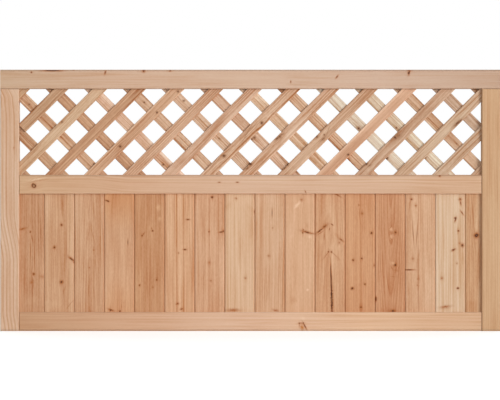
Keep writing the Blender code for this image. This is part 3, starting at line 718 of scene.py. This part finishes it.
# Front slats rise to the right, back slats to the left. A slat's bands are given from its middle, to the
# right of it.
slatTimber = {
    "front_slat_01": {"tone": "c8a27e"},
    "front_slat_02": {"tone": "c29976", "rings": 7, "figure": 1.15, "stripes": 1.2},
    "front_slat_03": {"tone": "d1ac89", "pith": (0, 90), "stripes": 1, "knots": ((-678, 752, 2.5),)},
    "front_slat_04": {"tone": "c39470", "pith": (40, 30), "bands": ((14, 8, 0.15),),
        "patches": ((-677, 619, 10, 44, 45, -0.5), (-450, 824, 18, 44, 45, -0.45))},
    "front_slat_05": {"tone": "cea17e", "figure": 0.6, "stripes": 0.9,
        "bands": ((-14, 11, -0.6), (4, 7, 0.2)),
        "knots": ((-469, 664, 4), (-336, 786, 2.6), (-261, 861, 2.8))},
    "front_slat_06": {"tone": "cfa382", "pith": (95, 40), "rings": 7.5, "figure": 1.25, "lines": 0.8},
    "front_slat_07": {"tone": "d3a98a", "figure": 0.55, "stripes": 0.9,
        "bands": ((-4, 5, 0.2), (15, 8, -0.15)),
        "patches": ((-252, 612, 18, 50, 45, 0.6), (-72, 792, 11, 90, 45, -0.4))},
    "front_slat_08": {"tone": "d2a887", "figure": 1, "stripes": 1.3,
        "knots": ((-95, 630, 4.3), (41, 749, 4.7, 0.8)),
        "marks": ((-122, 620, 1, 26, 32, 0.6), (-108, 640, 1, 22, 58, 0.55), (-12, 712, 1, 34, 30, 0.6),
            (10, 735, 1, 24, 55, 0.55))},
    "front_slat_09": {"tone": "d9b293", "pith": (30, 40), "bands": ((-14, 8, 0.2),),
        "knots": ((105, 699, 4.2, 0.76), (1, 600, 4)),
        "marks": ((112, 706, 2, 8, 60, 0.7), (97, 693, 2.6, 8, 45, 0.74), (-11, 586, 2.4, 7, 45, 0.72)),
        "patches": ((109, 680, 11, 44, 45, 0.6),)},
    "front_slat_10": {"tone": "cfa685", "knots": ((240, 699, 4.2, 0.76), (266, 706, 2.1), (133, 599, 3.6)),
        "marks": ((280, 722, 1, 16, 20, 0.55), (262, 691, 2.4, 9, 50, 0.7), (122, 585, 2.4, 7, 45, 0.7))},
    "front_slat_11": {"tone": "d2a280", "figure": 0.35, "stripes": 0.8, "lines": 0.3,
        "bands": ((-17, 9, -0.95), (-9, 7, -0.4)), "knots": ((352, 635, 3.2),),
        "patches": ((521, 820, 70, 70, 45, 0.25),)},
    "front_slat_12": {"tone": "cba485", "figure": 0.7, "bands": ((-14, 8, 0.15),),
        "knots": ((418, 601, 4),), "faintKnots": ((530, 703, 8),),
        "marks": ((500, 684, 1, 20, 52, 0.6), (548, 716, 1, 22, 36, 0.55), (430, 596, 2, 6, 60, 0.7),
            (521, 697, 5, 3.4, 40, 0.86), (536, 704, 2, 6, 20, 0.7))},
    "front_slat_13": {"tone": "cfac8c", "figure": 0.6, "stripes": 0.9,
        "marks": ((746, 748, 5, 15, 48, 0.76), (757, 758, 2, 5, 45, 0.8)),
        "patches": ((576, 619, 10, 44, 45, -0.55),)},
    "front_slat_14": {"tone": "d0af91", "figure": 0.7, "bands": ((-8, 6, 0.2), (9, 7, 0.25))},
    "front_slat_15": {"tone": "c49d7d"},
    "back_slat_01": {"tone": "bf9472"},
    "back_slat_02": {"tone": "cca380", "stripes": 1.5, "bands": ((-8, 6, 0.2),)},
    "back_slat_03": {"tone": "cca07d", "figure": 1.1, "stripes": 1.4,
        "bands": ((-11, 13, -0.5), (8, 6, 0.2)), "knots": ((-797, 816, 2.1), (-563, 600, 3.1))},
    "back_slat_04": {"tone": "be8e6a", "stripes": 1.6, "patches": ((-448, 608, 14, 40, -45, -0.55),)},
    "back_slat_05": {"tone": "e2bda0", "figure": 0.6, "bands": ((-3, 8, 0.45), (12, 8, -0.45)),
        "knots": ((-314, 599, 2.3),)},
    "back_slat_06": {"tone": "d1a887", "figure": 1.1, "stripes": 1.3, "knots": ((-383, 823, 2.3),)},
    "back_slat_07": {"tone": "d6b091", "knots": ((-240, 829, 2.7), (-113, 693, 1.6), (0, 600, 6.2)),
        "marks": ((-38, 756, 1, 16, -30, 0.6), (-24, 744, 1, 14, -62, 0.6), (-30, 735, 1, 16, -45, 0.5)),
        "patches": ((-30, 608, 18, 44, -45, -0.45),)},
    "back_slat_08": {"tone": "d4ab8c", "figure": 1.2, "stripes": 1.4,
        "knots": ((14, 696, 4.2, 0.75), (136, 596, 4.9)),
        "marks": ((4, 706, 2, 8, -70, 0.7), (120, 612, 1, 18, -45, 0.6), (6, 691, 2.4, 5, -45, 0.78),
            (167, 572, 3, 8, -45, 0.66)), "patches": ((32, 685, 18, 34, -45, 0.55),)},
    "back_slat_09": {"tone": "dcb897", "stripes": 1.5},
    "back_slat_10": {"tone": "d2a987", "figure": 1.1, "stripes": 1.4,
        "patches": ((160, 814, 11, 44, -45, -0.6),)},
    "back_slat_11": {"tone": "ddc7ad", "pith": (0, 120), "figure": 0.3, "stripes": 1,
        "knots": ((390, 730, 4.4), (492, 622, 4))},
    "back_slat_12": {"tone": "dcc4a7", "figure": 0.3, "stripes": 1,
        "bands": ((-16, 12, 0.4), (10, 9, -0.55)), "knots": ((526, 731, 2.4), (631, 624, 3))},
    "back_slat_13": {"tone": "d0a988", "figure": 1.1, "stripes": 1.3, "lines": 0.8,
        "knots": ((743, 674, 1.6),), "patches": ((649, 742, 10, 42, -45, -0.6),)},
    "back_slat_14": {"tone": "c5a184", "stripes": 1.4},
    "back_slat_15": {"tone": "c09877"},
}


def dressFrameAndBoards():
    pieces = {**stileTimber, **railTimber, **boardTimber}
    for seed, (node, wood) in enumerate(pieces.items(), start=1):
        middle, half = middleOf(node)
        isRail = node in railTimber
        turn, halfLength = (math.pi / 2, half.x) if isRail else (0, half.z)
        dress(node, makeWood(node + "_larch", wood, tuple(middle), turn, halfLength, seed))


middleSlat = len(slatTimber) // 4 + 1


def latticePitch(layer):
    first, _ = middleOf(f"{layer}_slat_{middleSlat:02d}")
    second, _ = middleOf(f"{layer}_slat_{middleSlat + 1:02d}")
    return second.x - first.x, first


def vary(number, step, low, count):
    # From low up, in steps that look unordered, as each slat is cut from another place in the stem
    return low + number * step % count


def dressSlats():
    for layer, turn in (("front", math.pi / 4), ("back", -math.pi / 4)):
        pitch, first = latticePitch(layer)
        names = [name for name in slatTimber if name.startswith(layer)]
        for number, node in enumerate(names, start=1):
            origin = (first.x + (number - middleSlat) * pitch, first.y, first.z)
            _, half = middleOf(node)
            side = 1 if number % 2 == 0 else -1
            stem = {"pith": (side * vary(number, 37, 60, 70), vary(number, 23, 30, 40)),
                    "lean": (vary(number, 29, -8, 17), vary(number, 13, 0, 19))}
            wood = {**plainSlat, **stem, **slatTimber[node]}
            seed = number * 3 + len(layer)
            dress(node, makeWood(node + "_larch", wood, origin, turn, half.z * math.sqrt(2), seed))


# Stainless steel screws, turned and thread rolled, then pickled: a dull silvery grey
screw = {
    "length": 110,
    "headRadius": 5,
    "rim": 0.6,
    "shankRadius": 1.8,
    "coreRadius": 1.6,
    "crestRadius": 2.5,
    "smoothLength": 42,      # from the head's top to the start of the thread
    "shoulder": 0.5,         # from the shank in to the thread's core
    "pointLength": 6,
    "pointEnd": 0.06,        # how wide the point ends, as a share of the core
    "pitch": 2.8,            # of the thread
    "threadRadius": 0.75,    # of the thread's triangle, as a share of how far the thread stands out
    "threadSteps": 12,       # in a turn
    "recessRadius": 2.5,     # of the six-pointed drive
    "recessWaist": 0.76,     # how far out the drive's hollows are, as a share of its radius
    "recessDepth": 2.2,
    "recessFloor": 0.85,     # how wide the drive's bottom is, as a share of its mouth
    "sides": 24,
    "smoothUnder": 35,       # degrees between faces
}

# Staples of the same steel, bent from wire and shot in from behind where the slats cross
staple = {
    "crown": 12,
    "wire": 1.2,
    "sunk": 0.3,             # how deep the crown is pressed into the slat
    "leg": 13,
    "rounding": 0.36,        # of the wire's edges
    "roundingSteps": 2,
    "smoothUnder": 35,       # degrees between faces
    "rowsFromMiddle": 1,
    "columnsFromMiddle": 11,     # in half pitches of the lattice
}

steel = {
    "colour": "b9b7b0",
    "rough": (0.28, 0.46),       # from the smoothest to the roughest scratch
    "scratchSpan": (0.3, 0.7),   # the part of the noise that this runs over
    "scratchWidth": 0.25,
    "scratchLength": 6,
}


def selectOnly(active, *others):
    bpy.ops.object.select_all(action="DESELECT")
    for piece in (active, *others):
        piece.select_set(True)
    bpy.context.view_layer.objects.active = active


def selectFaces(mesh, chosen):
    # In edit mode, selects the faces whose middle and normal pass the test
    bpy.ops.mesh.select_all(action="DESELECT")
    data = bmesh.from_edit_mesh(mesh)
    for face in data.faces:
        if chosen(face.calc_center_median(), face.normal):
            face.select = True
    bmesh.update_edit_mesh(mesh)


def extrudeSelected(move, scale=1.0, middle=None):
    bpy.ops.mesh.extrude_region_move(TRANSFORM_OT_translate={"value": move})
    if scale != 1.0:
        bpy.ops.transform.resize(value=(scale, scale, scale), center_override=middle)


def makeScrew(screw):
    rim = screw["rim"] * mm
    bpy.ops.mesh.primitive_cylinder_add(vertices=screw["sides"], radius=screw["headRadius"] * mm, depth=rim,
                                        location=(0, 0, -rim / 2))
    piece = bpy.context.object
    bpy.ops.object.transform_apply(location=True)
    bpy.ops.object.mode_set(mode="EDIT")

    # Underside: cone, shank, shoulder, core and point
    selectFaces(piece.data, lambda middle, normal: normal.z < -0.9)
    height = -rim
    cone = (screw["headRadius"] - screw["shankRadius"]) * mm
    shoulder = screw["shoulder"] * mm
    threaded = (screw["length"] - screw["smoothLength"] - screw["pointLength"]) * mm
    stages = ((cone, screw["shankRadius"] / screw["headRadius"]),
              (screw["smoothLength"] * mm - cone, 1.0),
              (shoulder, screw["coreRadius"] / screw["shankRadius"]),
              (threaded - rim - shoulder, 1.0),
              (screw["pointLength"] * mm, screw["pointEnd"]))
    for drop, scale in stages:
        height -= drop
        extrudeSelected((0, 0, -drop), scale, (0, 0, height))

    # Drive: a ring set in the head, every fourth of its corners drawn in, sunk
    selectFaces(piece.data, lambda middle, normal: normal.z > 0.9)
    bpy.ops.mesh.inset(thickness=(screw["headRadius"] - screw["recessRadius"]) * mm)
    data = bmesh.from_edit_mesh(piece.data)
    floor = next(face for face in data.faces if face.select)
    oneSide = math.tau / screw["sides"]
    waists = [corner for corner in floor.verts
              if round(math.atan2(corner.co.y, corner.co.x) / oneSide) % 4 == 2]
    bpy.ops.mesh.select_all(action="DESELECT")
    for corner in waists:
        corner.select = True
    bmesh.update_edit_mesh(piece.data)
    waist = screw["recessWaist"]
    bpy.ops.transform.resize(value=(waist, waist, 1), center_override=(0, 0, 0))
    nearAxis = screw["recessRadius"] * mm / 4
    selectFaces(piece.data, lambda middle, normal: normal.z > 0.9 and middle.xy.length < nearAxis)
    depth = screw["recessDepth"] * mm
    extrudeSelected((0, 0, -depth), screw["recessFloor"], (0, 0, -depth))
    bpy.ops.object.mode_set(mode="OBJECT")

    selectOnly(piece, makeThread(screw))
    bpy.ops.object.join()
    bpy.ops.object.shade_smooth_by_angle(angle=math.radians(screw["smoothUnder"]))
    return piece


def makeThread(screw):
    # A flat triangle beside the core, turned round it by a Screw modifier
    core, crest, pitch = (screw[key] * mm for key in ("coreRadius", "crestRadius", "pitch"))
    length = (screw["length"] - screw["smoothLength"] - screw["pointLength"]) * mm - pitch
    start = -(screw["length"] - screw["pointLength"]) * mm
    bpy.ops.mesh.primitive_circle_add(vertices=3, radius=(crest - core) * screw["threadRadius"],
                                      fill_type="NOTHING", location=((crest + core) / 2, 0, start),
                                      rotation=(math.pi / 2, 0, 0))
    thread = bpy.context.object
    bpy.ops.object.transform_apply(location=True, rotation=True)
    turn = thread.modifiers.new("turn", "SCREW")
    turn.angle = math.tau
    turn.screw_offset = pitch
    turn.iterations = int(length / pitch)
    turn.steps = turn.render_steps = screw["threadSteps"]
    turn.use_merge_vertices = False
    bpy.ops.object.modifier_apply(modifier=turn.name)
    bpy.ops.object.mode_set(mode="EDIT")
    bpy.ops.mesh.select_all(action="SELECT")
    bpy.ops.mesh.fill_holes(sides=3)
    bpy.ops.mesh.select_all(action="SELECT")
    bpy.ops.mesh.normals_make_consistent(inside=False)
    bpy.ops.object.mode_set(mode="OBJECT")
    return thread


def makeStaple(staple, backFace):
    crown, wire, leg = (staple[key] * mm for key in ("crown", "wire", "leg"))
    bpy.ops.mesh.primitive_cube_add(size=1, location=(0, backFace + wire / 2 - staple["sunk"] * mm, 0),
                                    scale=(crown, wire, wire))
    piece = bpy.context.object
    bpy.ops.object.transform_apply(location=True, scale=True)
    bpy.ops.object.mode_set(mode="EDIT")
    for side in (-1, 1):
        bpy.ops.mesh.select_all(action="SELECT")
        bpy.ops.mesh.bisect(plane_co=(side * (crown / 2 - wire), 0, 0), plane_no=(1, 0, 0))
    selectFaces(piece.data, lambda middle, normal: normal.y < -0.9 and abs(middle.x) > crown / 2 - wire)
    extrudeSelected((0, -leg, 0))
    bpy.ops.object.mode_set(mode="OBJECT")
    rounding = piece.modifiers.new("rounding", "BEVEL")
    rounding.width = staple["rounding"] * mm
    rounding.segments = staple["roundingSteps"]
    bpy.ops.object.modifier_apply(modifier=rounding.name)
    bpy.ops.object.shade_smooth_by_angle(angle=math.radians(staple["smoothUnder"]))
    return piece


def makeSteel(steel):
    # Fine scratches, all drawn out along X, coarser than real ones so that they show
    material, tree = newMaterial("dullStainlessSteel")
    here = addNode(tree, "TexCoord").outputs["Object"]
    width, length = steel["scratchWidth"] * mm, steel["scratchLength"] * mm
    place = addNode(tree, "Mapping", {"Vector": here, "Scale": (1 / length, 1 / width, 1 / width)})
    noise = addNode(tree, "TexNoise", {"Vector": place, "Scale": 1, "Detail": 2}).outputs["Fac"]
    rough = addNode(tree, "MapRange", (noise,), span=(*steel["scratchSpan"], *steel["rough"]))
    skin = addNode(tree, "BsdfPrincipled", {"Base Color": linear(steel["colour"]), "Metallic": 1,
                                            "Roughness": rough})
    addNode(tree, "OutputMaterial", {"Surface": skin})
    return material


def copyOf(pattern, name):
    selectOnly(pattern)
    bpy.ops.object.duplicate()
    piece = bpy.context.object
    piece.name = name
    return piece


def finishPiece(piece, material):
    bpy.ops.object.transform_apply(location=True, rotation=True)
    piece.data.materials.clear()
    piece.data.materials.append(material)
    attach(piece, "root")


def driveScrews(screw, material):
    pattern = makeScrew(screw)
    half = screw["length"] * mm / 2
    for node in [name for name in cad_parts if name.endswith("_screw")]:
        middle, reach = middleOf(node)
        piece = copyOf(pattern, node + "_turned")
        if reach.z > reach.x:
            piece.location = middle + Vector((0, 0, half))
        else:
            side = math.copysign(1, middle.x)
            piece.rotation_euler = (0, side * math.pi / 2, 0)
            piece.location = middle + Vector((side * half, 0, 0))
        finishPiece(piece, material)
        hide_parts(node)
    bpy.data.objects.remove(pattern)


def shootStaples(staple, material):
    pitch, middle = latticePitch("back")
    _, reach = middleOf(f"back_slat_{middleSlat:02d}")
    pattern = makeStaple(staple, middle.y + reach.y)
    number = 0
    columns, rows = staple["columnsFromMiddle"], staple["rowsFromMiddle"]
    for row in range(-rows, rows + 1):
        for column in range(-columns, columns + 1):
            if (row + column) % 2 == 0:
                number += 1
                piece = copyOf(pattern, f"staple_{number:02d}")
                piece.location = (middle.x + column * pitch / 2, 0, middle.z + row * pitch / 2)
                finishPiece(piece, material)
    bpy.data.objects.remove(pattern)
    return number


bpy.ops.object.select_all(action="DESELECT")
makeCamera(view, cadBounds)
makeStudio(studio)
print("camera, lights and floor made")

groups = {"ragged": makeRaggedGroup(larch), "knot": makeKnotGroup(larch), "patch": makePatchGroup(),
          "bend": makeBendGroup(), "band": makeBandGroup(), "drift": makeDriftGroup(larch),
          "rings": makeRingGroup(larch), "larch": makeLarchGroup(larch)}
dressFrameAndBoards()
dressSlats()
print("larch on the frame, boards and slats")

dullSteel = makeSteel(steel)
driveScrews(screw, dullSteel)
print("screws driven and", shootStaples(staple, dullSteel), "staples shot in")

bpy.context.scene.view_settings.view_transform = "Standard"
